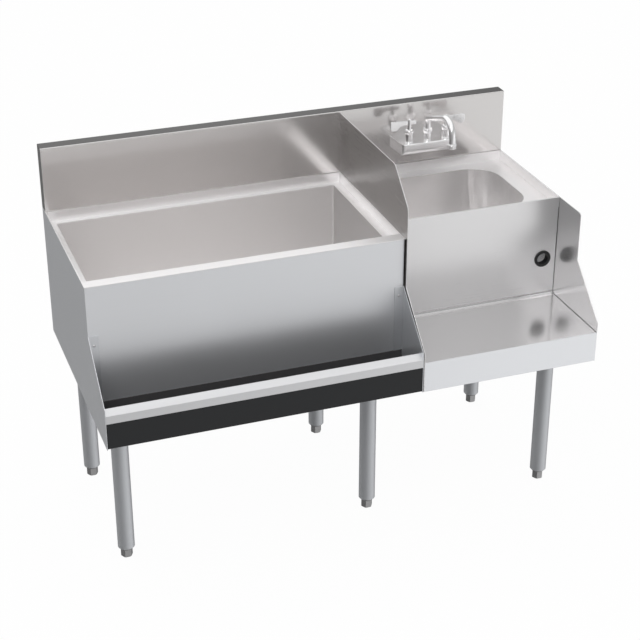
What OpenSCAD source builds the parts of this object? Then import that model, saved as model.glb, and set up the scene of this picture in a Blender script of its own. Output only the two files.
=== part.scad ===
// Underbar station: an insulated ice bin with a speed rail on the left, and a
// hand sink with a blender shelf on the right, on six adjustable legs.
// Every module is drawn on the bench: x = 0 at the left end, y = 0 at the front
// face of the bin (the rail is in front of it, at negative y), z = 0 at the floor.
// on_floor() then moves it so that the origin is under the middle of the unit.

/* [Overall] */
// Length of the whole station
station_w = 1219; // [1100:1:1500]
// Depth of the bodies, from the bin's front face to the wall
body_d = 478; // [460:1:520]
// How far the rail and the blender shelf stand out in front of the bin
rail_out = 132; // [110:1:150]
// Working height: top of the rims
rim_h = 756; // [700:1:900]
// Height of the top of the backsplash
splash_top = 920; // [880:1:1050]
// Height of the underside of the bodies
under_h = 414; // [380:1:460]
// Thickness of the bent sheet
sheet = 1.5; // [1:0.1:2]
// Thickness of the side plates
plate = 1.5; // [1:0.1:3]

/* [Backsplash] */
// Depth of the hollow backsplash, front to back
splash_d = 38; // [30:1:50]
// Height of the returned lips on its open back
splash_lip = 25; // [15:1:35]

/* [Ice bin] */
// Length of the bin's outer shell
bin_w = 760; // [700:1:800]
// Dark joint between the bin's shell and the divider
seam = 3; // [2:0.5:6]
// Width of the flat rim along the front
front_rim = 31; // [25:1:40]
// Drop from the rims to the ledge round the bin and the deck round the sink
recess = 26; // [20:1:35]
// Width of the ledge at the two ends
ledge_side = 22; // [18:1:40]
// Width of the ledge at the front and the back
ledge_end = 17; // [12:1:30]
// Radius of the upright corners of the recess and the liner
corner_r = 3; // [2:0.5:12]
// Height of the liner's floor at its two ends
floor_h = 452; // [448:1:500]
// Fall of the floor from its ends to the flat round the drain
floor_fall = 6; // [2:1:10]
// Distance of the bin's drain from the left end
bin_drain_x = 380; // [300:1:450]
// Distance of the bin's drain from the front face
bin_drain_y = 330; // [150:1:350]

/* [Speed rail] */
// Height of the rail's black front wall
trough_h = 85; // [70:1:95]
// Height of the trough's back wall
trough_back_h = 49.5; // [40:0.5:70]
// Height of the upright face of the cap
cap_face = 20; // [15:1:30]
// Run of the cap's sloping top, front to back
cap_run = 17.5; // [12:0.5:25]
// Rise of the cap's sloping top
cap_rise = 10.5; // [5:0.5:15]
// Height of the kink where the side plates start to slope forward
kink_h = 634; // [600:1:680]
// Height where that slope meets the front
nose_h = 517; // [515:1:530]

/* [Sink and blender station] */
// How far the divider and the end plate stand proud of the bin's face
proud = 10; // [5:1:15]
// Height of the top of the divider
divider_top = 915; // [880:1:918]
// Distance of the divider's top front corner from the bin's face
divider_back = 75; // [50:1:100]
// Height where the divider's front corner ends
divider_nose = 835; // [800:1:860]
// Distance of the sink's front panel behind the bin's face
sink_front = 100; // [80:1:110]
// Dark joint between the end plate and the panels that meet it
end_gap = 1.5; // [0.5:0.5:3]
// Height of the blender shelf
shelf_h = 492; // [480:1:500]
// Length of the bowl's mouth
bowl_w = 354; // [330:1:380]
// Width of the bowl's mouth, front to back
bowl_d = 268; // [240:1:275]
// Radius of the bowl's upright corners
bowl_r = 74; // [50:1:90]
// Radius where the bowl's walls turn into its floor
bowl_floor_r = 45; // [30:1:60]
// Height of the bowl's floor, inside
bowl_floor = 482; // [478:1:520]
// Distance of the bowl's right side from the right end of the station
bowl_right = 51; // [35:1:60]
// Distance of the bowl's back edge from the face of the backsplash
bowl_back = 32; // [20:1:40]
// Distance of the cord hole from the right end of the station
cord_right = 38; // [30:1:60]
// Height of the cord hole
cord_h = 593.5; // [560:0.5:650]

/* [Faucet] */
// Distance of the faucet's middle from the right end of the station
faucet_right = 239; // [220:1:260]
// Distance between the two valves (4 inch centres)
valve_pitch = 101.6; // [90:0.1:110]
// Distance of the valves from the backsplash
valve_out = 56.5; // [50:0.5:65]
// Height of the top of the faucet's body
faucet_top = 837; // [825:1:850]
// Height of the faucet's body
faucet_body_h = 30.5; // [25:0.5:35]
// Reach of the spout, from its swivel to its outlet
spout_reach = 151; // [130:1:170]
// Radius of the spout's tube
spout_r = 7.9; // [7:0.1:9]
// Slope of the spout's run, in degrees
spout_rise = 19.5; // [15:0.1:25]
// Radius of the spout's end bend
spout_bend = 36; // [30:1:50]

/* [Legs] */
// Outside radius of the leg tubes (1 5/8 inch)
leg_r = 20.65; // [18:0.05:25]
// Height of the visible hexagon of each foot
foot_h = 21.5; // [18:0.5:30]
// Height of the tapered end of each leg
taper_h = 6; // [5:1:12]
// Width of each foot across its flats
foot_af = 25.4; // [22:0.1:30]

/* [Hidden] */

STEEL = [0.74, 0.74, 0.75];
STEEL_DARK = [0.55, 0.56, 0.57];
BLACK = [0.09, 0.09, 0.1];
FOAM = [0.9, 0.86, 0.68];
CHROME = [0.82, 0.82, 0.84];
RUBBER = [0.12, 0.12, 0.13];

// Planes that several pieces share
splash_face = body_d - splash_d;
skin_top = rim_h - sheet;
ledge_h = rim_h - recess;
ledge_under = ledge_h - sheet;
bin_right_skin = bin_w - sheet;
divider_x = bin_w + seam;
sink_x = divider_x + plate;
end_x = station_w - plate;

// Opening of the bin, at its ledge
bin_x0 = ledge_side;
bin_x1 = divider_x - sheet - ledge_side;
bin_y0 = front_rim + ledge_end;
bin_y1 = splash_face - ledge_end;

// Opening of the bowl, at its deck
bowl_x1 = station_w - bowl_right;
bowl_x0 = bowl_x1 - bowl_w;
bowl_y1 = splash_face - bowl_back;
bowl_y0 = bowl_y1 - bowl_d;
bowl_wall = 1.2;
bowl_cx = (bowl_x0 + bowl_x1) / 2;
bowl_cy = (bowl_y0 + bowl_y1) / 2;

// Rail
trough_front = -rail_out + sheet;
trough_top = under_h + trough_h;
bracket_flange = 22;
cap_low = trough_top - cap_face + 1.5;
screw_z = kink_h - 24;
screw_x = [plate + 11, bin_w - 11];
screw_head_r = 3.4;

// Bin drain: 1 inch pipe size
drain_flat = 50;
drain_pipe_r = 16.7;
drain_neck_r = 17.2;
drain_bore = 13;
drain_low = 372;
drain_well_r = 34;
bin_floor = floor_h - floor_fall;
bin_floor_under = bin_floor - sheet;

// Sink drain: basket type
cup_r = 42;
cup_floor = 442;
tail_r = 19.05;
tail_low = 392;
basket_r = 38.5;

// Cord grommet
cord_x = station_w - cord_right;
grommet_r = 22;
grommet_bore = 15;
grommet_neck = 18.8;

// Faucet
faucet_x = station_w - faucet_right;
faucet_y = splash_face - valve_out;
faucet_mid_z = faucet_top - faucet_body_h / 2;
valve_x = [faucet_x - valve_pitch / 2, faucet_x + valve_pitch / 2];
body_half = 75;
body_back_half = 81;
body_front = faucet_y - 19.5;
shank_r = 10.3;
shank_neck_r = 10.6;
shank_neck_end = splash_face + sheet + 10;
shank_end = body_d - 4;
bonnet_h = 31;
stem_r = 3.9;
hub_r = 5;
hub_low = faucet_top + bonnet_h + 0.8;
hub_top = faucet_top + 60;
handle_screw_r = 1.6;
stem_low = faucet_top + 12;
stem_top = faucet_top + 49;
nut_h = 29.5;
spout_low = faucet_top + 3;
first_bend = 16;
bend_lap = 0.6;
straight_r = spout_r + 0.03;
run_height = faucet_top + 56.5;
aerator_top = faucet_top + 42;
aerator_low = faucet_top + 30;
spout_end = faucet_top + 35;

// Legs: bodies stand on a front and a rear row
bin_leg_x = [62, 691];
sink_leg_x = 1164;
apron_return = 76;
sink_channel_front = -rail_out + 56;
leg_rows = [40, 426];
sink_leg_rows = [13, 434];
leg_places = [
    [bin_leg_x[0], leg_rows[0]], [bin_leg_x[1], leg_rows[0]], [sink_leg_x, sink_leg_rows[0]],
    [bin_leg_x[0], leg_rows[1]], [bin_leg_x[1], leg_rows[1]], [sink_leg_x, sink_leg_rows[1]]
];
channel_h = 24;
channel_w = 60;
socket_plate = 3;
socket_w = 84;
socket_r = 25;
socket_h = 49;
socket_top = under_h - channel_h - socket_plate;
leg_top = socket_top;
leg_wall = 1.5;
leg_bore = leg_r - leg_wall;
leg_low = foot_h + taper_h;
stud_r = 6.35;
stud_fit = 0.05;
stud_top = 78;
collar_top = 60;
set_screw_r = 4;

// ---- Helpers ----------------------------------------------------------------

module on_floor() {
    translate([-station_w / 2, -(body_d - rail_out) / 2, 0]) children();
}

// A box from its low corner to its high corner
module block(low, high) {
    translate(low) cube(high - low);
}

// A flat outline in (y, z), drawn out from x0 to x1
module along_x(x0, x1) {
    translate([x0, 0, 0]) rotate([90, 0, 90]) linear_extrude(x1 - x0) children();
}

// A rectangle with round corners, from its low corner to its high corner
module round_rect(low, high, r) {
    translate([low[0] + r, low[1]]) square([high[0] - low[0] - 2 * r, high[1] - low[1]]);
    translate([low[0], low[1] + r]) square([high[0] - low[0], high[1] - low[1] - 2 * r]);
    for (x = [low[0] + r, high[0] - r])
        for (y = [low[1] + r, high[1] - r])
            translate([x, y]) circle(r, $fn = 48);
}

function arc(centre, r, a0, a1, steps) = [
    for (i = [0:steps])
        let (a = a0 + (a1 - a0) * i / steps)
            [centre[0] + r * cos(a), centre[1] + r * sin(a)]
];

function unit(v) = v / norm(v);
function right_of(v) = [v[1], -v[0]];
function reversed(list) = [for (i = [len(list) - 1:-1:0]) list[i]];

// Round the inner corners of a line of points with arcs of radius r
function rounded(points, r, steps = 4) = [
    for (i = [0:len(points) - 1])
        each (i == 0 || i == len(points) - 1) ? [points[i]] :
            let (
                a = unit(points[i - 1] - points[i]),
                b = unit(points[i + 1] - points[i]),
                half = acos(a * b) / 2,
                centre = points[i] + unit(a + b) * r / sin(half),
                from = points[i] + a * r / tan(half) - centre,
                to = points[i] + b * r / tan(half) - centre,
                a0 = atan2(from[1], from[0]),
                turn = atan2(from[0] * to[1] - from[1] * to[0], from * to)
            ) arc(centre, r, a0, a0 + turn, steps)
];

// The same line moved to its right by t, with mitred corners
function moved(points, t) = [
    for (i = [0:len(points) - 1])
        let (
            before = unit(points[max(i, 1)] - points[max(i, 1) - 1]),
            after = unit(points[min(i + 1, len(points) - 1)] - points[min(i + 1, len(points) - 1) - 1]),
            side = unit(right_of(before) + right_of(after))
        ) points[i] + side * t / (side * right_of(before))
];

// A bent sheet: the line is its show side, and the metal lies to the line's right
module bent_sheet(points, t = sheet) {
    polygon(concat(points, reversed(moved(points, t))));
}

module hexagon(af, h) {
    cylinder(r = af / sqrt(3), h = h, $fn = 6);
}

module pipe(r, bore, z0, z1) {
    translate([0, 0, z0]) difference() {
        cylinder(r = r, h = z1 - z0, $fn = 64);
        translate([0, 0, -1]) cylinder(r = bore, h = z1 - z0 + 2, $fn = 64);
    }
}

// ---- Backsplash and side plates ---------------------------------------------

// Outline of the backsplash from its lower lip, over its face, to its upper lip
splash_line = rounded([
    [body_d, rim_h + splash_lip], [body_d, rim_h], [splash_face, rim_h],
    [splash_face, splash_top], [body_d, splash_top], [body_d, splash_top - splash_lip]
], 2.5);

module backsplash() {
    color(STEEL) on_floor() difference() {
        union() {
            along_x(0, station_w) bent_sheet(splash_line);
            for (x = [0, station_w - sheet])
                along_x(x, x + sheet) polygon(splash_line);
        }
        for (x = valve_x)
            translate([x, splash_face - 1, faucet_mid_z])
                rotate([-90, 0, 0]) cylinder(r = shank_neck_r + 0.4, h = sheet + 2, $fn = 48);
    }
}

module rear_panel() {
    color(STEEL_DARK) on_floor()
        block([sheet, body_d - sheet, under_h], [sink_x, body_d, rim_h]);
}

// Angle that ties the sink's two side plates together, low at the back
module rear_cross_rail() {
    color(STEEL_DARK) on_floor() along_x(sink_x, end_x)
        bent_sheet([[splash_face, under_h], [body_d, under_h], [body_d, under_h + 36]], -sheet);
}

// Outline of a plate that ends the rail or the shelf: y forward is negative
function nose(y, low) = [[y, kink_h], [-rail_out, nose_h], [-rail_out, low]];

module divider_panel() {
    back = body_d - sheet;
    front = -proud;
    crest = rounded([[divider_back + 40, divider_top], [divider_back, divider_top],
                     [front, divider_nose], [front, kink_h + 40]], 20);
    color(STEEL) on_floor() along_x(divider_x, sink_x)
        polygon(concat(
            [[back, under_h], [back, rim_h], [splash_face, rim_h], [splash_face, divider_top]],
            crest,
            nose(front, under_h)
        ));
}

module right_end_panel() {
    front = -proud;
    shoulder = rounded([[40, rim_h], [front, rim_h], [front, kink_h + 40]], 8);
    low_front = -rail_out + sheet;
    color(STEEL) on_floor() along_x(end_x, station_w)
        polygon(concat(
            [[body_d, under_h], [body_d, rim_h]],
            shoulder,
            [[front, kink_h], [-rail_out, nose_h], [-rail_out, shelf_h],
             [low_front, shelf_h], [low_front, under_h]]
        ));
}

// ---- Ice bin ----------------------------------------------------------------

module rail_screw_holes(r, y0, y1) {
    for (x = screw_x)
        translate([x, y0, screw_z]) rotate([-90, 0, 0]) cylinder(r = r, h = y1 - y0, $fn = 24);
}

module bin_front_panel() {
    color(STEEL) on_floor() difference() {
        block([0, 0, under_h], [bin_w, sheet, skin_top]);
        rail_screw_holes(2.4, -1, sheet + 1);
    }
}

module bin_left_panel() {
    color(STEEL) on_floor() block([0, sheet, under_h], [sheet, body_d, skin_top]);
}

module bin_right_panel() {
    color(STEEL_DARK) on_floor()
        block([bin_right_skin, sheet, under_h + sheet], [bin_w, body_d - sheet, ledge_under]);
}

module bin_bottom_pan() {
    color(STEEL_DARK) on_floor() difference() {
        block([sheet, sheet, under_h], [bin_w, body_d - sheet, under_h + sheet]);
        translate([bin_drain_x, bin_drain_y, under_h - 1])
            cylinder(r = drain_neck_r + 6, h = sheet + 2, $fn = 48);
    }
}

// Rims, the walls of the recess and the ledge that carries sliding covers
module bin_top() {
    inner_low = [2 * sheet, front_rim];
    inner_high = [divider_x - sheet, splash_face - sheet];
    wall_low = [sheet, front_rim - sheet];
    wall_high = [divider_x, splash_face];
    color(STEEL) on_floor() {
        translate([0, 0, skin_top]) linear_extrude(sheet) difference() {
            square([divider_x, body_d - sheet]);
            round_rect(inner_low, inner_high, corner_r);
        }
        translate([0, 0, ledge_h]) linear_extrude(recess - sheet) difference() {
            translate(wall_low) square(wall_high - wall_low);
            round_rect(inner_low, inner_high, corner_r);
        }
        translate([0, 0, ledge_under]) linear_extrude(sheet) difference() {
            translate(wall_low) square(wall_high - wall_low);
            round_rect([bin_x0, bin_y0], [bin_x1, bin_y1], corner_r);
        }
    }
}

// The space inside the liner, made larger all round by t
module liner_space(t) {
    low = bin_floor - t;
    end = floor_h - t;
    intersection() {
        translate([0, 0, low]) linear_extrude(ledge_under - low)
            round_rect([bin_x0 - t, bin_y0 - t], [bin_x1 + t, bin_y1 + t], corner_r + t);
        translate([0, bin_y1 + t, 0]) rotate([90, 0, 0]) linear_extrude(bin_y1 - bin_y0 + 2 * t)
            polygon([
                [bin_x0 - t, ledge_under], [bin_x0 - t, end],
                [bin_drain_x - drain_flat, low], [bin_drain_x + drain_flat, low],
                [bin_x1 + t, end], [bin_x1 + t, ledge_under]
            ]);
    }
}

module bin_liner() {
    color(STEEL) on_floor() difference() {
        liner_space(sheet);
        liner_space(0);
        translate([bin_drain_x, bin_drain_y, bin_floor - 10])
            cylinder(r = drain_neck_r + 0.5, h = 20, $fn = 48);
    }
}

module bin_insulation() {
    color(FOAM) on_floor() difference() {
        block([sheet, sheet, under_h + sheet], [bin_right_skin, body_d - sheet, ledge_under]);
        liner_space(sheet);
        translate([bin_drain_x, bin_drain_y, under_h])
            cylinder(r = drain_well_r, h = 60, $fn = 64);
        rail_screw_holes(2.4, 0, 10);
    }
}

// ---- Drain of the bin -------------------------------------------------------

module at_bin_drain() {
    on_floor() translate([bin_drain_x, bin_drain_y, 0]) children();
}

module bin_drain_body() {
    color(CHROME) at_bin_drain() difference() {
        union() {
            translate([0, 0, drain_low]) cylinder(r = drain_pipe_r, h = 33, $fn = 64);
            translate([0, 0, drain_low + 33])
                cylinder(r = drain_neck_r, h = bin_floor - drain_low - 33, $fn = 64);
            translate([0, 0, bin_floor]) cylinder(r1 = 30, r2 = 28, h = 2.5, $fn = 64);
        }
        translate([0, 0, drain_low - 1]) cylinder(r = drain_bore, h = 120, $fn = 64);
        translate([0, 0, bin_floor + 0.5]) cylinder(r = 19, h = 5, $fn = 64);
    }
}

module bin_drain_gasket() {
    color(RUBBER) at_bin_drain()
        pipe(28, drain_neck_r + 0.05, bin_floor_under - 3, bin_floor_under);
}

module bin_drain_nut() {
    color(CHROME) at_bin_drain() translate([0, 0, bin_floor_under - 13]) difference() {
        hexagon(50, 10);
        translate([0, 0, -1]) cylinder(r = drain_neck_r + 0.05, h = 12, $fn = 64);
    }
}

module bin_drain_screen() {
    color(STEEL) at_bin_drain() translate([0, 0, bin_floor + 0.5]) difference() {
        cylinder(r = 19, h = 1.5, $fn = 64);
        for (ring = [[6, 6], [12, 12]])
            for (i = [0:ring[1] - 1])
                rotate(i * 360 / ring[1]) translate([ring[0], 0, -1])
                    cylinder(r = 1.8, h = 4, $fn = 16);
        translate([0, 0, -1]) cylinder(r = 1.8, h = 4, $fn = 16);
    }
}

// ---- Speed rail -------------------------------------------------------------

module rail_trough() {
    floor_z = under_h;
    color(BLACK) on_floor() along_x(plate, bin_w)
        bent_sheet(rounded([
            [0, floor_z + trough_back_h], [0, floor_z],
            [trough_front, floor_z], [trough_front, trough_top - 1]
        ], 4));
}

module rail_cap() {
    front = -rail_out;
    face_top = cap_low + cap_face;
    back = front + cap_run;
    color(STEEL) on_floor() along_x(plate, bin_w)
        bent_sheet([
            [front, cap_low], [front, face_top],
            [back, face_top + cap_rise], [back, face_top - 5]
        ]);
}

// Side plate of the rail with a flange that is screwed to the bin's front
module rail_bracket(plate_x0, flange_x0, flange_x1) {
    color(STEEL) on_floor() {
        along_x(plate_x0, plate_x0 + plate)
            polygon(concat([[0, under_h]], nose(0, under_h)));
        difference() {
            block([flange_x0, -sheet, under_h + trough_back_h], [flange_x1, 0, kink_h]);
            rail_screw_holes(2.4, -sheet - 1, 1);
        }
    }
}

module rail_bracket_left() {
    rail_bracket(0, plate, plate + bracket_flange);
}

module rail_bracket_right() {
    rail_bracket(bin_w, bin_w - bracket_flange, bin_w);
}

module rail_screws() {
    color(CHROME) on_floor()
        for (x = screw_x)
            translate([x, -sheet, screw_z]) rotate([90, 0, 0]) rotate_extrude($fn = 32)
                polygon(concat([[0, -11], [2.4, -11], [2.4, 0], [screw_head_r, 0]],
                               [[screw_head_r - 0.2, 0.9], [screw_head_r - 1, 1.5], [0, 1.8]]));
}

// ---- Sink -------------------------------------------------------------------

module bowl_mouth(t) {
    round_rect([bowl_x0 - t, bowl_y0 - t], [bowl_x1 + t, bowl_y1 + t], bowl_r + t);
}

module sink_deck() {
    inner_low = [sink_x + sheet, sink_front + 2 * sheet];
    inner_high = [end_x - sheet, splash_face - sheet];
    wall_low = [sink_x, sink_front + sheet];
    wall_high = [end_x, splash_face];
    color(STEEL) on_floor() {
        translate([0, 0, skin_top]) linear_extrude(sheet) difference() {
            translate([sink_x, sink_front + sheet + 3])
                square([end_x - sink_x, body_d - sheet - sink_front - sheet - 3]);
            round_rect([inner_low[0], inner_low[1] - 20], inner_high, corner_r);
        }
        translate([0, 0, ledge_h]) linear_extrude(recess - sheet) difference() {
            translate(wall_low) square(wall_high - wall_low);
            round_rect(inner_low, inner_high, corner_r);
        }
        translate([0, 0, ledge_under]) linear_extrude(sheet) difference() {
            translate(wall_low) square(wall_high - wall_low);
            bowl_mouth(0);
        }
        block([sink_x, body_d - sheet, rim_h - 56], [end_x, body_d, rim_h]);
    }
}

// The space inside the bowl, made larger all round by t and higher by above
module bowl_space(t, above = 0) {
    low = bowl_floor - t;
    r = bowl_floor_r + t;
    inset = bowl_floor_r + 4;
    pole = cos(180 / 32);
    hull() {
        for (x = [bowl_x0 + bowl_r, bowl_x1 - bowl_r])
            for (y = [bowl_y0 + bowl_r, bowl_y1 - bowl_r])
                translate([x, y, ledge_under - 1])
                    cylinder(r = bowl_r + t, h = 1 + above, $fn = 32);
        for (x = [bowl_x0 + inset, bowl_x1 - inset])
            for (y = [bowl_y0 + inset, bowl_y1 - inset])
                translate([x, y, low + r * pole]) sphere(r, $fn = 32);
    }
}

module sink_bowl() {
    color(STEEL) on_floor() difference() {
        bowl_space(bowl_wall);
        bowl_space(0, 1);
        translate([bowl_cx, bowl_cy, bowl_floor - 10]) cylinder(r = cup_r + 0.5, h = 20, $fn = 64);
    }
}

module sink_front_panel() {
    color(STEEL) on_floor() difference() {
        along_x(sink_x, end_x - end_gap)
            bent_sheet([
                [sink_front, shelf_h + 8], [sink_front, rim_h],
                [sink_front + sheet + 3, rim_h]
            ]);
        translate([cord_x, sink_front - 1, cord_h])
            rotate([-90, 0, 0]) cylinder(r = grommet_neck, h = sheet + 2, $fn = 48);
    }
}

// Shelf, with its apron in front and its turned-up back, bent from one sheet.
// The apron runs on in front of the end plate, and its lower return sits on the
// sink's channel.
module blender_shelf() {
    front = -rail_out;
    show_side = concat(
        [[front + apron_return, under_h], [front, under_h], [front, shelf_h]],
        rounded([[front + 10, shelf_h], [sink_front, shelf_h], [sink_front, shelf_h + 8]], 6)
    );
    color(STEEL) on_floor() {
        along_x(sink_x, end_x - end_gap) bent_sheet(show_side);
        along_x(end_x - end_gap, station_w)
            polygon([[front, under_h], [front + sheet, under_h],
                     [front + sheet, shelf_h], [front, shelf_h]]);
    }
}

module cord_grommet() {
    color(BLACK) on_floor() translate([cord_x, sink_front, cord_h]) rotate([90, 0, 0])
        rotate_extrude($fn = 64) polygon(concat(
            [[grommet_bore, -14], [grommet_neck, -14]],
            [[grommet_neck + 2, -4], [grommet_neck + 2, -sheet], [grommet_neck, -sheet]],
            [[grommet_neck, 0], [grommet_r, 0], [grommet_r, 1.6]],
            arc([grommet_r - 1.6, 1.6], 1.6, 0, 90, 3),
            [[grommet_bore + 1, 3.2], [grommet_bore, 2.4]]
        ));
}

// ---- Drain of the sink ------------------------------------------------------

module at_sink_drain() {
    on_floor() translate([bowl_cx, bowl_cy, 0]) children();
}

module sink_drain_body() {
    color(CHROME) at_sink_drain() rotate_extrude($fn = 64) polygon([
        [tail_r - 1.6, tail_low], [tail_r, tail_low], [tail_r, cup_floor - 4],
        [cup_r - 6, cup_floor - 2], [cup_r, cup_floor + 4], [cup_r, bowl_floor],
        [57, bowl_floor], [56, bowl_floor + 1.4], [50, bowl_floor + 2],
        [cup_r - 2, bowl_floor], [cup_r - 2, cup_floor + 5], [cup_r - 5, cup_floor],
        [tail_r - 1.6, cup_floor]
    ]);
}

module sink_drain_gasket() {
    color(RUBBER) at_sink_drain()
        pipe(55, cup_r + 0.05, bowl_floor - bowl_wall - 3, bowl_floor - bowl_wall);
}

module sink_drain_nut() {
    z = bowl_floor - bowl_wall - 13;
    color(CHROME) at_sink_drain() difference() {
        union() {
            translate([0, 0, z]) cylinder(r = 50, h = 10, $fn = 64);
            for (i = [0:5])
                rotate(i * 60) block([48, -5, z], [56, 5, z + 7]);
        }
        translate([0, 0, z - 1]) cylinder(r = cup_r + 0.05, h = 12, $fn = 64);
    }
}

// Lift-out crumb basket with a knob on a post
module sink_drain_basket() {
    color(STEEL) at_sink_drain() difference() {
        rotate_extrude($fn = 64) polygon([
            [0, cup_floor], [33, cup_floor], [basket_r - 1.5, cup_floor + 6],
            [basket_r - 0.5, bowl_floor - 6], [basket_r - 1.7, bowl_floor - 6],
            [basket_r - 2.8, cup_floor + 7], [32.5, cup_floor + 1.2], [3, cup_floor + 1.2],
            [3, bowl_floor - 4], [7, bowl_floor - 2], [7, bowl_floor + 1], [5, bowl_floor + 3],
            [0, bowl_floor + 3.4]
        ]);
        for (ring = [[10, 8], [17, 14], [24, 20]])
            for (i = [0:ring[1] - 1])
                rotate(i * 360 / ring[1]) translate([ring[0], 0, cup_floor - 1])
                    cylinder(r = 1.7, h = 4, $fn = 12);
    }
}

// ---- Legs -------------------------------------------------------------------

module at_leg(i) {
    on_floor() translate([leg_places[i][0], leg_places[i][1], 0]) children();
}

// Fore-and-aft channels, open side down
module leg_channels() {
    z0 = under_h - channel_h;
    for (channel = [[bin_leg_x[0], 3], [bin_leg_x[1], 3], [sink_leg_x, sink_channel_front]])
        color(STEEL_DARK) on_floor() translate([channel[0], channel[1], 0]) difference() {
            block([-channel_w / 2, 0, z0], [channel_w / 2, body_d - 3 - channel[1], under_h]);
            block([-channel_w / 2 + 2, -1, z0 - 1],
                  [channel_w / 2 - 2, body_d + rail_out, under_h - 2]);
        }
}

module leg_sockets() {
    for (i = [0:5])
        color(STEEL_DARK) at_leg(i) {
            translate([0, 0, socket_top]) linear_extrude(socket_plate)
                round_rect([-socket_w / 2, -socket_w / 2], [socket_w / 2, socket_w / 2], 8);
            difference() {
                pipe(socket_r, leg_r + 0.03, socket_top - socket_h, socket_top);
                translate([0, 0, socket_top - 35]) rotate([0, 90, 0])
                    cylinder(r = set_screw_r, h = 40, $fn = 24);
            }
        }
}

module leg_set_screws() {
    for (i = [0:5])
        color(STEEL_DARK) at_leg(i) translate([leg_r + 0.05, 0, socket_top - 35])
            rotate([0, 90, 0]) difference() {
                cylinder(r = set_screw_r, h = 9, $fn = 24);
                translate([0, 0, 5]) cylinder(r = 2.3, h = 5, $fn = 6);
            }
}

module leg(i) {
    color(STEEL) at_leg(i) pipe(leg_r, leg_bore, leg_low, leg_top);
}

// Tapered plug that closes each leg and takes the foot's thread
module leg_collars() {
    for (i = [0:5])
        color(STEEL_DARK) at_leg(i) difference() {
            union() {
                translate([0, 0, foot_h])
                    cylinder(r1 = 15.5, r2 = leg_r, h = taper_h, $fn = 64);
                translate([0, 0, leg_low])
                    cylinder(r = leg_bore, h = collar_top - leg_low, $fn = 64);
            }
            translate([0, 0, foot_h - 1])
                cylinder(r = stud_r + stud_fit, h = collar_top, $fn = 48);
        }
}

module foot(i) {
    color(STEEL_DARK) at_leg(i) {
        intersection() {
            hexagon(foot_af, foot_h);
            cylinder(r1 = 13.6, r2 = 13.6 + foot_h, h = foot_h, $fn = 64);
        }
        translate([0, 0, foot_h]) cylinder(r = stud_r, h = stud_top - foot_h, $fn = 48);
    }
}

module leg_front_left() { leg(0); }
module leg_front_middle() { leg(1); }
module leg_front_right() { leg(2); }
module leg_rear_left() { leg(3); }
module leg_rear_middle() { leg(4); }
module leg_rear_right() { leg(5); }

module foot_front_left() { foot(0); }
module foot_front_middle() { foot(1); }
module foot_front_right() { foot(2); }
module foot_rear_left() { foot(3); }
module foot_rear_middle() { foot(4); }
module foot_rear_right() { foot(5); }

// ---- Faucet -----------------------------------------------------------------

// Move to a point on the faucet's row of axes, x from its middle
module at_faucet(x) {
    on_floor() translate([faucet_x + x, faucet_y, 0]) children();
}

// Cast body: wider at the wall, with soft upright corners and a rounded belly
module faucet_body() {
    low = faucet_top - faucet_body_h;
    corner = 8;
    color(CHROME) on_floor() intersection() {
        translate([faucet_x, 0, low - 1]) linear_extrude(faucet_body_h + 2)
            polygon(concat(
                [[body_back_half, splash_face], [-body_back_half, splash_face]],
                arc([-body_half + corner, body_front + corner], corner, 180, 270, 6),
                arc([body_half - corner, body_front + corner], corner, 270, 360, 6)
            ));
        along_x(faucet_x - body_back_half, faucet_x + body_back_half)
            polygon(concat(
                [[splash_face, low], [splash_face, faucet_top]],
                arc([body_front + 3, faucet_top - 3], 3, 90, 180, 4),
                arc([body_front + 13, low + 13], 13, 180, 270, 8)
            ));
    }
}

module faucet_shanks() {
    neck = shank_neck_end - splash_face;
    reach = shank_end - splash_face;
    color(CHROME) on_floor() for (x = valve_x)
        translate([x, splash_face, faucet_mid_z]) rotate([-90, 0, 0]) difference() {
            union() {
                cylinder(r = shank_neck_r, h = neck, $fn = 64);
                translate([0, 0, neck]) cylinder(r = shank_r, h = reach - neck, $fn = 64);
            }
            translate([0, 0, -1]) cylinder(r = 6.5, h = reach + 2, $fn = 48);
        }
}

module faucet_shank_nuts() {
    color(CHROME) on_floor() for (x = valve_x)
        translate([x, splash_face + sheet, faucet_mid_z]) rotate([-90, 0, 0]) {
            pipe(19, shank_neck_r + 0.05, 0, 1.5);
            translate([0, 0, 1.5]) difference() {
                hexagon(30, 8);
                translate([0, 0, -1]) cylinder(r = shank_neck_r + 0.05, h = 10, $fn = 64);
            }
        }
}

module valve_bonnet(side) {
    stem_fit = 0.06;
    color(CHROME) at_faucet(side * valve_pitch / 2) translate([0, 0, faucet_top])
        rotate_extrude($fn = 64) polygon([
            [0, 0], [12, 0], [12, 1.6], [10.3, 2.4], [10.3, 22], [12.6, 28],
            [12.6, bonnet_h], [11.4, bonnet_h], [6.4, 28], [stem_r + stem_fit, 28],
            [stem_r + stem_fit, 12], [0, 12]
        ]);
}

module valve_stem(side) {
    color(CHROME) at_faucet(side * valve_pitch / 2) difference() {
        translate([0, 0, stem_low]) cylinder(r = stem_r, h = stem_top - stem_low, $fn = 48);
        translate([0, 0, stem_top - 8]) cylinder(r = handle_screw_r, h = 10, $fn = 24);
    }
}

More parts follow.
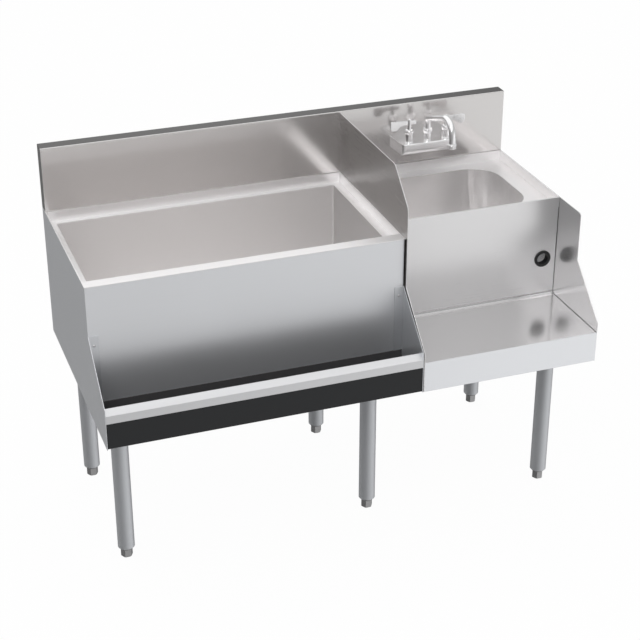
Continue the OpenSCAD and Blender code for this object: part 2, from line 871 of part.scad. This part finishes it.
// Wing handle: a flat blade through the hub, with a dropped paddle at its outer end
module handle(side) {
    top = hub_top - 2.5;
    blade = concat(
        arc([-16, top - 3], 2, 180, 90, 3),
        arc([47, top - 4], 5, 90, 0, 4),
        arc([44, top - 16], 8, 0, -90, 5),
        arc([38, top - 16], 8, -90, -150, 4),
        [[25, top - 14], [14, top - 11.5], [-16, top - 11]],
        arc([-16, top - 9], 2, -90, -180, 3)
    );
    color(CHROME) at_faucet(side * valve_pitch / 2) difference() {
        union() {
            translate([0, 0, hub_low]) cylinder(r = hub_r, h = hub_top - hub_low, $fn = 48);
            scale([side, 1, 1]) translate([0, 2, 0]) rotate([90, 0, 0]) linear_extrude(4)
                polygon(blade);
        }
        translate([0, 0, hub_low - 1]) cylinder(r = stem_r, h = stem_top - hub_low + 1, $fn = 48);
        translate([0, 0, stem_top - 1]) cylinder(r = handle_screw_r, h = 20, $fn = 24);
    }
}

module handle_screw(side) {
    color(CHROME) at_faucet(side * valve_pitch / 2) rotate_extrude($fn = 32) polygon([
        [0, stem_top - 8], [handle_screw_r, stem_top - 8], [handle_screw_r, hub_top],
        [3.4, hub_top], [3.2, hub_top + 1.1], [2.2, hub_top + 1.8], [0, hub_top + 2]
    ]);
}

module valve_bonnet_left() { valve_bonnet(-1); }
module valve_bonnet_right() { valve_bonnet(1); }
module valve_stem_left() { valve_stem(-1); }
module valve_stem_right() { valve_stem(1); }
module handle_left() { handle(-1); }
module handle_right() { handle(1); }
module handle_screw_left() { handle_screw(-1); }
module handle_screw_right() { handle_screw(1); }

module spout_nut() {
    spout_fit = 0.04;
    color(CHROME) at_faucet(0) translate([0, 0, faucet_top]) rotate_extrude($fn = 64) polygon([
        [0, 0], [10.6, 0], [10.6, 1.6], [9.4, 2.4], [9.4, 19], [13.6, 27], [13.6, nut_h],
        [12.6, nut_h], [9.4, 25.5], [straight_r + spout_fit, 25.5],
        [straight_r + spout_fit, 3], [0, 3]
    ]);
}

// Part of a round tube: a bend about a centre in the (reach, height) plane
module tube_bend(centre, bend_r, a0, a1) {
    translate([centre[0], 0, centre[1]]) rotate([90, 0, 0]) rotate([0, 0, a0])
        rotate_extrude(angle = a1 - a0, $fn = 96) translate([bend_r, 0]) circle(spout_r, $fn = 48);
}

module spout() {
    slope_a = 90 + spout_rise;
    first_z = run_height - first_bend * tan((90 - spout_rise) / 2);
    first_exit = [first_bend + first_bend * cos(slope_a), first_z + first_bend * sin(slope_a)];
    end_x_rel = spout_reach - spout_bend;
    end_z = run_height + (end_x_rel + spout_bend * cos(slope_a)) * tan(spout_rise)
            - spout_bend * sin(slope_a);
    end_entry = [end_x_rel + spout_bend * cos(slope_a), end_z + spout_bend * sin(slope_a)];
    color(CHROME) at_faucet(0) rotate([0, 0, -90]) {
        translate([0, 0, spout_low])
            cylinder(r = straight_r, h = first_z + bend_lap - spout_low, $fn = 48);
        tube_bend([first_bend, first_z], first_bend, slope_a, 180);
        translate([first_exit[0], 0, first_exit[1]]) rotate([0, 90 - spout_rise, 0])
            translate([0, 0, -bend_lap])
            cylinder(r = straight_r, h = norm(end_entry - first_exit) + 2 * bend_lap, $fn = 48);
        tube_bend([end_x_rel, end_z], spout_bend, 0, slope_a);
        translate([spout_reach, 0, spout_end])
            cylinder(r = straight_r, h = end_z + bend_lap - spout_end, $fn = 48);
    }
}

module aerator() {
    color(CHROME) at_faucet(0) translate([0, -spout_reach, 0]) rotate_extrude($fn = 64) polygon([
        [0, aerator_low + 2], [8.6, aerator_low + 2], [8.6, aerator_low], [9.6, aerator_low],
        [10.4, aerator_low + 1.2], [10.8, aerator_top - 4], [11.8, aerator_top - 3],
        [11.8, aerator_top - 0.8], [11, aerator_top], [straight_r, aerator_top],
        [straight_r, spout_end], [0, spout_end]
    ]);
}

// ---- Placing ----------------------------------------------------------------

backsplash();
rear_panel();
rear_cross_rail();
divider_panel();
right_end_panel();
bin_front_panel();
bin_left_panel();
bin_right_panel();
bin_bottom_pan();
bin_top();
bin_liner();
bin_insulation();
bin_drain_body();
bin_drain_gasket();
bin_drain_nut();
bin_drain_screen();
rail_trough();
rail_cap();
rail_bracket_left();
rail_bracket_right();
rail_screws();
sink_deck();
sink_bowl();
sink_front_panel();
blender_shelf();
cord_grommet();
sink_drain_body();
sink_drain_gasket();
sink_drain_nut();
sink_drain_basket();
leg_channels();
leg_sockets();
leg_set_screws();
leg_collars();
leg_front_left();
leg_front_middle();
leg_front_right();
leg_rear_left();
leg_rear_middle();
leg_rear_right();
foot_front_left();
foot_front_middle();
foot_front_right();
foot_rear_left();
foot_rear_middle();
foot_rear_right();
faucet_body();
faucet_shanks();
faucet_shank_nuts();
valve_bonnet_left();
valve_bonnet_right();
valve_stem_left();
valve_stem_right();
handle_left();
handle_right();
handle_screw_left();
handle_screw_right();
spout_nut();
spout();
aerator();
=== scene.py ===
import math

import bpy
from mathutils import Matrix, Vector

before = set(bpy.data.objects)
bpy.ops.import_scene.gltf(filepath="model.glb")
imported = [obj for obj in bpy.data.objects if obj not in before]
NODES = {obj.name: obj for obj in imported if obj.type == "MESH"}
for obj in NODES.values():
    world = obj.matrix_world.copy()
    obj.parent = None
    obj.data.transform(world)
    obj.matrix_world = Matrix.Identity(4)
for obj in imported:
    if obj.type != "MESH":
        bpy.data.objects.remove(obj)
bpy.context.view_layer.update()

WHITE = (1.0, 1.0, 1.0, 1.0)

# ---- Camera, as fitted to the photograph (metres and millimetres of film) -----

CAMERA_AT = Vector((-1.1659, -3.2539, 2.2863))
CAMERA_LOOKS_AT = Vector((-0.0041, -0.0189, 0.4943))
CAMERA_ROLL = math.radians(-0.044)
CAMERA_LENS = 88.38
CAMERA_SENSOR = 36.0
CAMERA_REACH = 50

# ---- Studio: how bright each direction is, where 1 is white --------------------

LOW_LEFT = 0.16
LOW_RIGHT = 1.00
LOW_BEHIND = 0.28
FRONT_SKY = 0.45
BACK_SKY_LEFT = 1.04
BACK_SKY_RIGHT = 0.55
OVERHEAD = 1.02

KEY_AT = Vector((-1.4, -2.4, 3.2))
KEY_AIM = Vector((0, 0, 0.5))
KEY_SIDE = 2.0
KEY_POWER = 30.0

FLOOR_HALF = 14.0
FLOOR_GREY = (0.9, 0.9, 0.9, 1)
FLOOR_GLOW = 0.965  # the rest of the floor's tone shows the unit's shadow

# ---- Surfaces (lengths in metres) ----------------------------------------------

# Noise scale along the grain and across it, by the direction of the grain
GRAIN_LONG, GRAIN_FINE = 10.0, 2600.0
GRAIN_X = (GRAIN_LONG, GRAIN_FINE, GRAIN_FINE)
GRAIN_Y = (GRAIN_FINE, GRAIN_LONG, GRAIN_FINE)
GRAIN_Z = (GRAIN_FINE, GRAIN_FINE, GRAIN_LONG)
GRAIN_DEPTH = 0.0000015
GRAIN_TONE = 0.006
GRAIN_ROUGHNESS = 0.02
CLOUD_SCALE = 3.2
CLOUD_ROUGHNESS = 0.02
ANISOTROPY = 0.25

WAVE_SCALE = 40.0
WAVE_DEPTH = 0.000004
PEEL_SCALE = 900.0
PEEL_DEPTH = 0.00005
PAINT_CLOUD_SCALE = 6.0
FOAM_SCALE = 700.0
FOAM_DEPTH = 0.0005

SHEET_EDGE = 0.0012
PLATED_EDGE = 0.0024
EDGE_SAMPLES = 6

LESS_GREEN = 0.993  # the studio's tint in the photograph

# Where the rail's front wall and the apron end on their outer and inner faces; the rail's painted
# light inside the trough starts there
RAIL_OUTER_Y, RAIL_INNER_Y = -0.3032, -0.3024
APRON_OUTER_Y, APRON_INNER_Y = -0.3049, -0.3035


def linear(tone):
    """A display tone from 0 to 1 as linear light."""
    return tone / 12.92 if tone <= 0.04045 else ((tone + 0.055) / 1.055) ** 2.4


def grey(tone, warmth=0.0):
    value = linear(tone)
    return (value * (1 + warmth), value * LESS_GREEN, value * (1 - warmth), 1.0)


# ---- Node trees ----------------------------------------------------------------

class Tree:
    """Short ways to add nodes to a material's or the world's tree."""

    def __init__(self, owner):
        owner.use_nodes = True
        self.nodes = owner.node_tree.nodes
        self.links = owner.node_tree.links
        self.nodes.clear()

    def add(self, kind, **settings):
        node = self.nodes.new(kind)
        for key, value in settings.items():
            setattr(node, key, value)
        return node

    def feed(self, socket, value):
        """Link an output to a socket, or set the socket to a constant."""
        if isinstance(value, bpy.types.NodeSocket):
            self.links.new(value, socket)
        else:
            socket.default_value = value

    def feed_all(self, node, **values):
        for key, value in values.items():
            self.feed(node.inputs[key.replace("_", " ")], value)

    def axes(self, coordinates):
        """X, Y and Z of one kind of texture coordinates."""
        place = self.add("ShaderNodeTexCoord")
        split = self.add("ShaderNodeSeparateXYZ")
        self.feed(split.inputs["Vector"], place.outputs[coordinates])
        return [split.outputs[axis] for axis in "XYZ"]

    def calculate(self, operation, *values):
        node = self.add("ShaderNodeMath", operation=operation)
        for socket, value in zip(node.inputs, values):
            self.feed(socket, value)
        return node.outputs["Value"]

    def spread(self, value, low, high, start=0.3, end=0.7, curve="LINEAR"):
        """Carry the span from start to end over to low to high, held beyond it."""
        node = self.add("ShaderNodeMapRange", interpolation_type=curve)
        self.feed_all(node, Value=value, From_Min=start, From_Max=end, To_Min=low, To_Max=high)
        return node.outputs["Result"]

    def mix(self, kind, factor, first, second):
        node = self.add("ShaderNodeMix", data_type=kind)
        self.feed_all(node, Factor=factor, A=first, B=second)
        return node.outputs["Result"]

    def mix_shaders(self, factor, first, second):
        node = self.add("ShaderNodeMixShader")
        for socket, value in zip(node.inputs, (factor, first, second)):
            self.feed(socket, value)
        return node.outputs["Shader"]


class Surface(Tree):
    """One material's tree, with its shader joined to its output."""

    def __init__(self, name):
        self.material = bpy.data.materials.new(name)
        super().__init__(self.material)
        self.shader = self.add("ShaderNodeBsdfPrincipled")
        self.output = self.add("ShaderNodeOutputMaterial")
        self.feed_all(self.output, Surface=self.shader.outputs["BSDF"])

    def set(self, **values):
        self.feed_all(self.shader, **values)

    def blend(self, factor, first, second):
        return self.mix("RGBA", factor, first, second)

    def noise(self, scale, detail=2.0, roughness=0.5, stretch=(1.0, 1.0, 1.0)):
        place = self.add("ShaderNodeTexCoord")
        mapping = self.add("ShaderNodeMapping")
        self.feed_all(mapping, Vector=place.outputs["Object"], Scale=stretch)
        node = self.add("ShaderNodeTexNoise")
        self.feed_all(node, Vector=mapping.outputs["Vector"], Scale=scale, Detail=detail,
                      Roughness=roughness)
        return node.outputs["Fac"]

    def sideways(self):
        """1 on faces that look along X, and 0 on those that look up or to the front."""
        return self.calculate("ABSOLUTE", self.axes("Normal")[0])

    def soft_edges(self, radius):
        """Normals that turn over sheet edges, so that bends and cuts catch the light."""
        node = self.add("ShaderNodeBevel", samples=EDGE_SAMPLES)
        self.feed_all(node, Radius=radius)
        return node.outputs["Normal"]

    def bump(self, height, distance, normal=None):
        node = self.add("ShaderNodeBump")
        self.feed_all(node, Strength=1.0, Distance=distance, Height=height)
        if normal:
            self.feed_all(node, Normal=normal)
        self.set(Normal=node.outputs["Normal"])


# ---- Materials -----------------------------------------------------------------

def satin_steel(name, grain, tone=0.95, roughness=0.32, warmth=0.0, metallic=0.9, painted_shading=None):
    """Stainless sheet polished in one direction: fine grain, faint clouding."""
    steel = Surface(name)
    brushed = steel.noise(1.0, 3.0, 0.65, stretch=grain)
    cloud = steel.noise(CLOUD_SCALE, 3.0, 0.55)
    colour = steel.blend(
        steel.spread(brushed, 0.0, 1.0, 0.25, 0.75),
        grey(tone - GRAIN_TONE, warmth), grey(tone + GRAIN_TONE, warmth),
    )
    rough = steel.calculate(
        "ADD",
        steel.spread(brushed, roughness - GRAIN_ROUGHNESS, roughness + GRAIN_ROUGHNESS),
        steel.spread(cloud, -CLOUD_ROUGHNESS, CLOUD_ROUGHNESS),
    )
    # painted_shading, where given, paints shade, highlights and, on the shelf, a tint over the
    # steel's colour
    steel.set(Base_Color=painted_shading(steel, colour) if painted_shading else colour, Roughness=rough,
              Metallic=metallic, Anisotropic=ANISOTROPY)
    steel.bump(brushed, GRAIN_DEPTH, steel.soft_edges(SHEET_EDGE))
    return steel.material


def painted_shade_top_and_ends(steel, colour):
    """Painted shade: the backsplash's top and ends are painted darker than its front."""
    top = steel.spread(steel.axes("Normal")[2], 0.0, 1.0, 0.94, 0.99)
    end = steel.spread(steel.sideways(), 0.0, 1.0, 0.75, 0.95)
    return steel.blend(steel.calculate("ADD", top, end), colour, grey(0.27, 0.02))


def painted_shade_end_walls(steel, colour):
    """Painted shade: the liner's end walls are painted darker than its long walls."""
    wall = steel.spread(steel.sideways(), 0.0, 1.0, 0.5, 0.95)
    return steel.blend(wall, colour, grey(0.80, 0.01))


def painted_edge_highlights(steel, colour):
    """Painted highlight: a plate's cut edges are painted brighter than its faces."""
    face = steel.spread(steel.sideways(), 0.0, 1.0, 0.5, 0.8)
    return steel.blend(face, grey(0.98), colour)


def shelf_painted_shade_and_tint(steel, colour):
    """Painted shade: the bend at the shelf's back is painted darker than the shelf, and the apron
    is cooler than the shelf.
    """
    turn = steel.axes("Normal")
    depth = steel.axes("Object")[1]
    bend = steel.spread(steel.calculate("MULTIPLY", turn[1], turn[2]), 1.0, 0.0, -0.30, -0.02)
    rear = steel.spread(depth, 0.0, 1.0, -0.2, -0.1)
    # painted shade along the bend at the shelf's back
    colour = steel.blend(steel.calculate("MULTIPLY", bend, rear), colour, grey(0.79))
    apron = steel.spread(depth, 1.0, 0.0, APRON_OUTER_Y, APRON_INNER_Y)
    return steel.blend(apron, colour, grey(0.96, -0.022))


def plated(name, tone, roughness, metallic=1.0):
    """Bright plating with a faint waviness."""
    metal = Surface(name)
    wave = metal.noise(WAVE_SCALE)
    metal.set(Base_Color=metal.blend(wave, grey(tone - 0.01), grey(tone + 0.01)),
              Roughness=metal.spread(wave, roughness - 0.03, roughness + 0.04),
              Metallic=metallic)
    metal.bump(wave, WAVE_DEPTH, metal.soft_edges(PLATED_EDGE))
    return metal.material


def coated(paint, colour, fine, roughness, shine):
    paint.set(Base_Color=colour, Roughness=paint.spread(fine, roughness - 0.05, roughness + 0.05),
              Specular_IOR_Level=shine)
    paint.bump(fine, PEEL_DEPTH)
    return paint.material


def moulded(name, colour, roughness):
    """Black plastic or rubber with a fine surface texture."""
    paint = Surface(name)
    fine = paint.noise(PEEL_SCALE)
    lighter = tuple(part * 1.25 + 0.002 for part in colour[:3]) + (1.0,)
    mottled = paint.blend(paint.noise(PAINT_CLOUD_SCALE), colour, lighter)
    return coated(paint, mottled, fine, roughness, shine=0.5)


def rail_paint(name):
    """The rail's black: deeper on its outer front, with painted light inside the trough, whose
    faces are painted lighter.
    """
    paint = Surface(name)
    fine = paint.noise(PEEL_SCALE)
    # painted light: the trough's inner faces are lighter than its outer front
    inside = paint.spread(paint.axes("Object")[1], 0.0, 1.0, RAIL_OUTER_Y, RAIL_INNER_Y)
    colour = paint.blend(inside, (0.0135, 0.0145, 0.016, 1), (0.075, 0.074, 0.076, 1))
    return coated(paint, colour, fine, 0.42, shine=0.35)


def foamed(name):
    foam = Surface(name)
    cells = foam.noise(FOAM_SCALE, 3.0)
    foam.set(Base_Color=foam.blend(cells, (0.62, 0.52, 0.27, 1), (0.80, 0.70, 0.42, 1)),
             Roughness=0.9)
    foam.bump(cells, FOAM_DEPTH)
    return foam.material


def dress(material, *names):
    for name in names:
        slots = NODES[name].material_slots
        if not slots:
            NODES[name].data.materials.append(material)
            slots = NODES[name].material_slots
        for one in slots:
            one.link = "OBJECT"
            one.material = material


def starting(*beginnings):
    return [name for name in NODES if name.startswith(beginnings)]


def dress_steel():
    dress(satin_steel("steel_splash", GRAIN_X, 0.89, 0.16, 0.018, painted_shading=painted_shade_top_and_ends),
          "backsplash")
    dress(satin_steel("steel_front", GRAIN_X, 0.92, 0.36, -0.02, metallic=0.75),
          "rear_panel", "rear_cross_rail", "bin_front_panel", "bin_bottom_pan")
    dress(satin_steel("steel_shelf", GRAIN_X, 0.93, 0.18, 0.006, painted_shading=shelf_painted_shade_and_tint),
          "blender_shelf")
    dress(satin_steel("steel_panel", GRAIN_X, 0.95, 0.30, metallic=0.85), "sink_front_panel")
    dress(satin_steel("steel_cap", GRAIN_X, 0.88, 0.34, -0.01), "rail_cap")
    dress(satin_steel("steel_inner", GRAIN_X, 0.99, 0.36, 0.006, metallic=0.75),
          "bin_top", "sink_deck")
    dress(satin_steel("steel_liner", GRAIN_X, 0.993, 0.40, 0.012, metallic=0.8,
                      painted_shading=painted_shade_end_walls),
          "bin_liner")
    dress(satin_steel("steel_side", GRAIN_Y, 0.885, warmth=-0.025, metallic=0.75),
          "bin_left_panel", "bin_right_panel", "rail_bracket_left", "rail_bracket_right")
    # Painted shade: the divider is a darker copy of the same steel, with painted highlights on
    # its cut edges
    dress(satin_steel("steel_divider_painted_shade", GRAIN_Y, 0.63, 0.28, 0.02, painted_shading=painted_edge_highlights),
          "divider_panel")
    # painted highlights on the right end plate's cut edges
    dress(satin_steel("steel_plate", GRAIN_Y, 0.84, 0.24, painted_shading=painted_edge_highlights), "right_end_panel")
    dress(satin_steel("steel_tube", GRAIN_Z, 0.78, 0.38, -0.03, metallic=0.65),
          *starting("leg_front", "leg_rear"))
    dress(satin_steel("steel_frame", GRAIN_Y, 0.80, 0.38),
          "leg_channels", "leg_sockets", "leg_set_screws")
    dress(satin_steel("steel_feet", GRAIN_Z, 0.68, 0.34), "leg_collars", *starting("foot_"))
    dress(satin_steel("steel_bowl", GRAIN_X, 0.995, 0.26, 0.008, metallic=0.85),
          "sink_bowl", "sink_drain_basket", "bin_drain_screen")


def dress_fittings():
    dress(plated("screw_plating", 0.90, 0.30), "rail_screws")
    dress(plated("faucet_plating", 0.985, 0.17, metallic=0.92),
          "faucet_body", "faucet_shanks", "faucet_shank_nuts",
          "valve_bonnet_left", "valve_bonnet_right", "valve_stem_left", "valve_stem_right",
          "handle_left", "handle_right", "handle_screw_left", "handle_screw_right",
          "spout_nut", "spout", "aerator")
    dress(plated("drain_plating", 0.80, 0.25),
          "sink_drain_body", "sink_drain_nut", "bin_drain_body", "bin_drain_nut")
    dress(rail_paint("rail_black"), "rail_trough")
    dress(moulded("grommet_black", (0.012, 0.012, 0.013, 1), 0.5), "cord_grommet")
    dress(moulded("seal_rubber", (0.02, 0.02, 0.02, 1), 0.8),
          "sink_drain_gasket", "bin_drain_gasket")
    dress(foamed("foam"), "bin_insulation")


# ---- Studio --------------------------------------------------------------------

def add_object(name, data):
    thing = bpy.data.objects.new(name, data)
    bpy.context.scene.collection.objects.link(thing)
    return thing


def aim(thing, place, target, roll=0.0):
    turn = (target - place).to_track_quat("-Z", "Y")
    thing.location = place
    thing.rotation_mode = "QUATERNION"
    thing.rotation_quaternion = turn @ Matrix.Rotation(roll, 4, "Z").to_quaternion()


def add_camera():
    data = bpy.data.cameras.new("camera")
    data.sensor_width = CAMERA_SENSOR
    data.lens = CAMERA_LENS
    data.clip_end = CAMERA_REACH
    camera = add_object("camera", data)
    aim(camera, CAMERA_AT, CAMERA_LOOKS_AT, CAMERA_ROLL)
    bpy.context.scene.camera = camera


def add_key_light():
    data = bpy.data.lights.new("key", "AREA")
    data.shape = "RECTANGLE"
    data.size = data.size_y = KEY_SIDE
    data.energy = KEY_POWER
    aim(add_object("key", data), KEY_AT, KEY_AIM)


def add_floor():
    """White to the camera, with the unit's faint shadow, and not in any reflection."""
    corners = [(x * FLOOR_HALF, y * FLOOR_HALF, 0)
               for x, y in ((-1, -1), (1, -1), (1, 1), (-1, 1))]
    mesh = bpy.data.meshes.new("floor")
    mesh.from_pydata(corners, [], [(0, 1, 2, 3)])
    floor = add_object("floor", mesh)
    floor.visible_glossy = False

    plain = Surface("floor")
    plain.set(Base_Color=FLOOR_GREY, Roughness=1.0, Specular_IOR_Level=0.0)
    glow = plain.add("ShaderNodeEmission")
    plain.feed_all(glow, Color=WHITE, Strength=1.0)
    seen = plain.add("ShaderNodeLightPath").outputs["Is Camera Ray"]
    lit = plain.mix_shaders(plain.calculate("MULTIPLY", seen, FLOOR_GLOW),
                            plain.shader.outputs["BSDF"], glow.outputs["Emission"])
    plain.feed_all(plain.output, Surface=lit)
    mesh.materials.append(plain.material)


def add_world():
    """A pale studio: dim on the lower left, bright on the right and overhead.
    The camera itself sees plain white."""
    world = bpy.data.worlds.new("studio")
    bpy.context.scene.world = world
    tree = Tree(world)
    across, depth, height = tree.axes("Generated")

    def ramp(value, start, end, low=0.0, high=1.0):
        return tree.spread(value, low, high, start, end, "SMOOTHSTEP")

    def level(factor, first, second):
        return tree.mix("FLOAT", factor, first, second)

    def background(strength):
        node = tree.add("ShaderNodeBackground")
        tree.feed_all(node, Color=WHITE, Strength=strength)
        return node.outputs["Background"]

    behind = ramp(depth, -0.2, 0.5)
    low = level(behind, ramp(across, -0.75, 0.95, LOW_LEFT, LOW_RIGHT), LOW_BEHIND)
    back_sky = ramp(across, 0.25, 0.50, BACK_SKY_LEFT, BACK_SKY_RIGHT)
    sky = level(behind, FRONT_SKY, back_sky)
    high = level(ramp(height, 0.45, 0.85), sky, OVERHEAD)
    studio = background(level(ramp(height, -0.15, 0.3), low, high))

    seen = tree.add("ShaderNodeLightPath").outputs["Is Camera Ray"]
    output = tree.add("ShaderNodeOutputWorld")
    tree.feed_all(output, Surface=tree.mix_shaders(seen, studio, background(1.0)))


add_camera()
add_world()
add_floor()
add_key_light()
dress_steel()
dress_fittings()

bpy.context.scene.view_settings.view_transform = "Standard"
